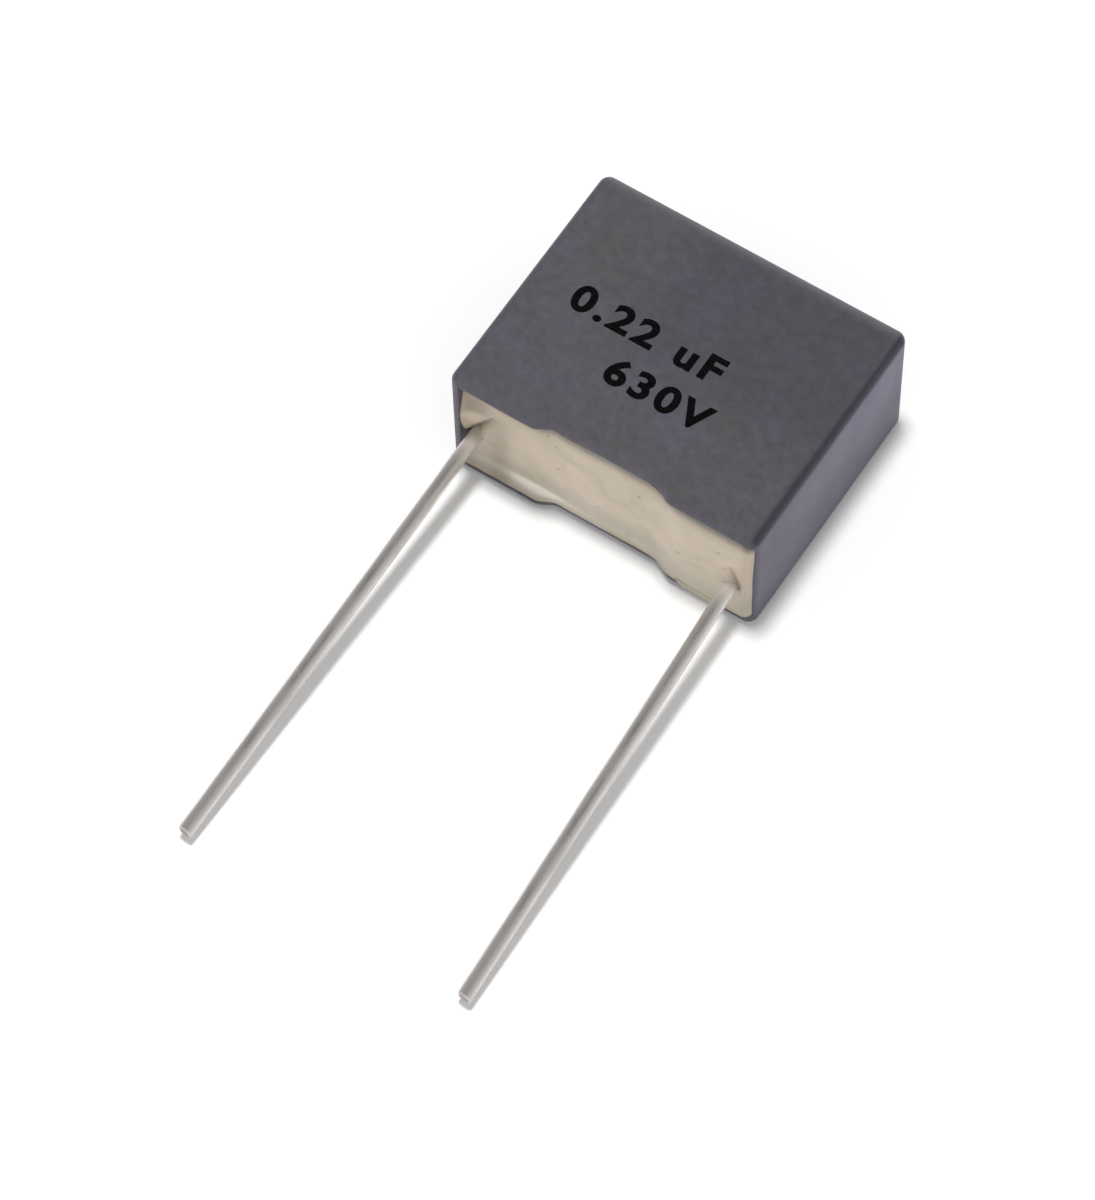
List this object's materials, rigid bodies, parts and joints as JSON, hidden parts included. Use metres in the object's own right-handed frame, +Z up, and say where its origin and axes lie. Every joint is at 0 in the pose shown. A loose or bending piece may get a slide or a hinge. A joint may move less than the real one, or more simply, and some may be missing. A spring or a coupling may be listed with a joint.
{
  "type": "film capacitor",
  "caption": "Boxed film capacitor with wire leads: a grey plastic case, filled with beige resin at the lead end, holds a wound film roll that stores charge for a circuit board.",
  "frame": {"origin": "midway between the two leads, on the plane of the case's feet, at half the case's thickness", "axes": "+X along the case from the left lead to the right lead, +Y from the lead end to the closed end, +Z up through the thickness, away from the broad face it lies on"},
  "size_m": [0.018, 0.0395, 0.0086],
  "materials": {
    "case_plastic": "fine satin, as moulded",
    "potting_resin": "semi-gloss, as cast",
    "metallised_film": "silvery film, wound",
    "sprayed_zinc": "rough, as sprayed",
    "tinned_wire": "bright tin, drawn"
  },
  "bodies": {
    "root": {"case": "case_plastic", "resin_fill": "potting_resin", "film_winding": "metallised_film", "end_spray_left": "sprayed_zinc", "end_spray_right": "sprayed_zinc", "lead_left": "tinned_wire", "lead_right": "tinned_wire"}
  },
  "joints": []
}
